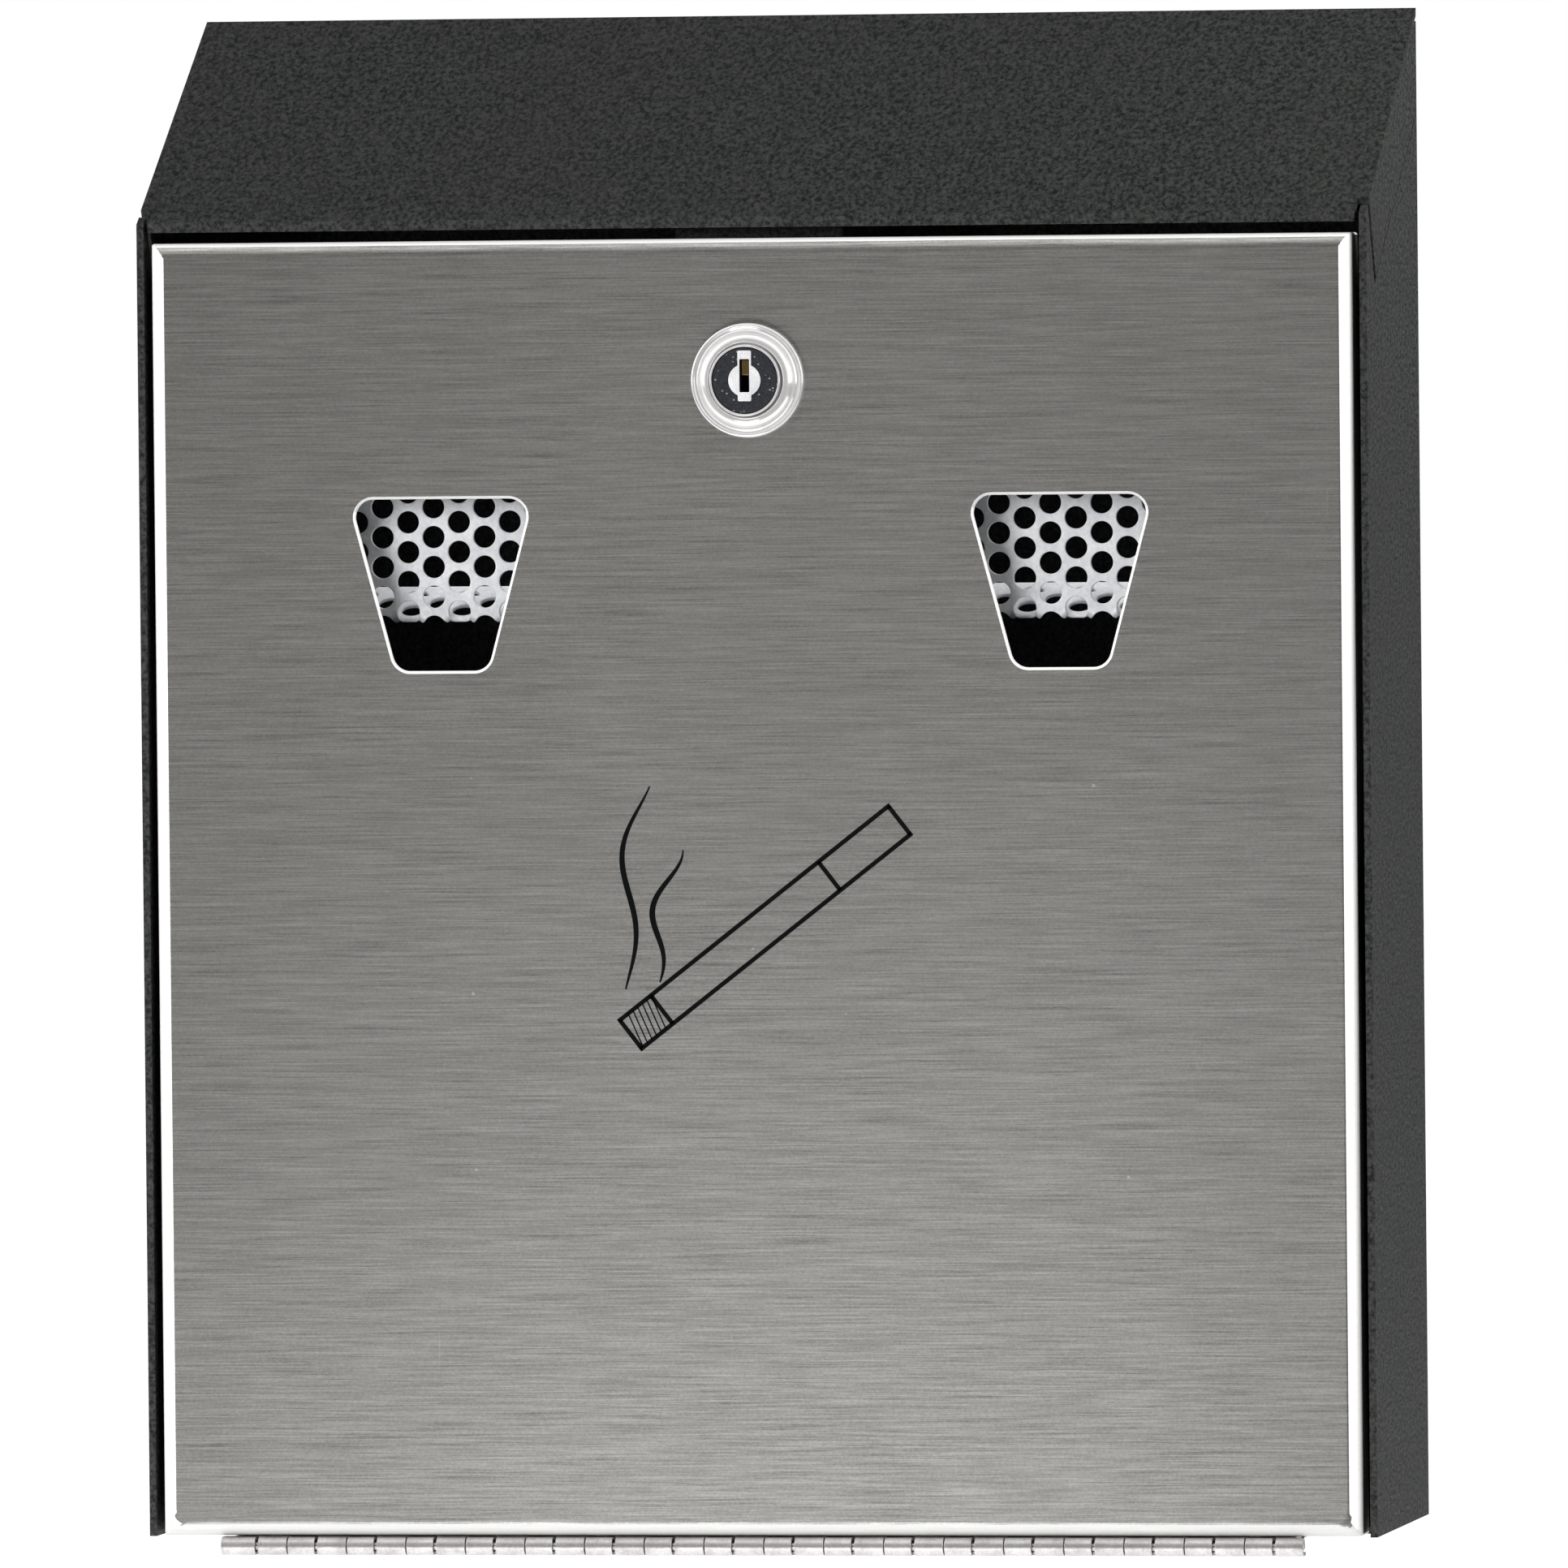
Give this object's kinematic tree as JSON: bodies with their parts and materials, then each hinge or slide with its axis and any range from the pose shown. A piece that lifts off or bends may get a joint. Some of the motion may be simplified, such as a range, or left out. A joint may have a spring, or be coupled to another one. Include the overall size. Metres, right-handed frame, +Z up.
{
  "type": "wall-mounted ashtray bin",
  "caption": "Wall-mounted cigarette bin: sloped steel box, hinged stainless door with two stub apertures and snuffer screens, cam lock, lift-out ash liner.",
  "frame": {"origin": "middle of the back face that rests on the wall", "axes": "+Y into the wall, +Z up, +X to the right of a person who faces the door"},
  "size_m": [0.2636, 0.0847, 0.3265],
  "materials": {
    "powder_coat": "fine-textured black powder coat",
    "brushed_stainless": "horizontal brushed grain",
    "perforated_steel": "bright plain steel sheet",
    "hinge_steel": "plain bright steel",
    "galvanised": "spangled galvanised sheet",
    "zinc": "bright zinc plate",
    "chrome": "polished chrome",
    "dark_plug": "satin dark grey",
    "brass": "bare brass"
  },
  "bodies": {
    "housing": {"body_wrap": "powder_coat", "top_panel": "powder_coat", "bottom_panel": "powder_coat", "lock_keeper": "powder_coat", "hinge_body_leaf": "hinge_steel", "hinge_pin": "hinge_steel", "body_rivet_1": "zinc", "body_rivet_2": "zinc", "body_rivet_3": "zinc", "body_rivet_4": "zinc"},
    "door": {"door_panel": "brushed_stainless", "hinge_door_leaf": "hinge_steel", "door_rivet_1": "zinc", "door_rivet_2": "zinc", "door_rivet_3": "zinc", "door_rivet_4": "zinc", "snuffer_screen_left": "perforated_steel", "snuffer_screen_right": "perforated_steel", "screen_stud_1": "hinge_steel", "screen_stud_2": "hinge_steel", "screen_stud_3": "hinge_steel", "screen_stud_4": "hinge_steel", "screen_nut_1": "zinc", "screen_nut_2": "zinc", "screen_nut_3": "zinc", "screen_nut_4": "zinc", "lock_face_ring": "chrome", "lock_barrel": "zinc", "lock_washer": "zinc", "lock_nut": "zinc"},
    "lock_core": {"lock_plug": "dark_plug", "keyway_insert": "chrome", "lock_wafer": "brass", "lock_cam": "hinge_steel", "cam_screw": "zinc"},
    "liner": {"ash_liner": "galvanised"}
  },
  "joints": [
    {"name": "door_hinge", "type": "hinge", "parent": "housing", "child": "door", "pos_m": [0, -0.0784, -0.1633], "axis": [1, 0, 0], "range_deg": [0, 180]},
    {"name": "lock_turn", "type": "hinge", "parent": "door", "child": "lock_core", "pos_m": [0, -0.0803, 0.08335], "axis": [0, 1, 0], "range_deg": [0, 90]},
    {"name": "liner_lift", "type": "slide", "parent": "housing", "child": "liner", "axis": [0, 0, 1], "range_m": [0, 0.022]}
  ]
}
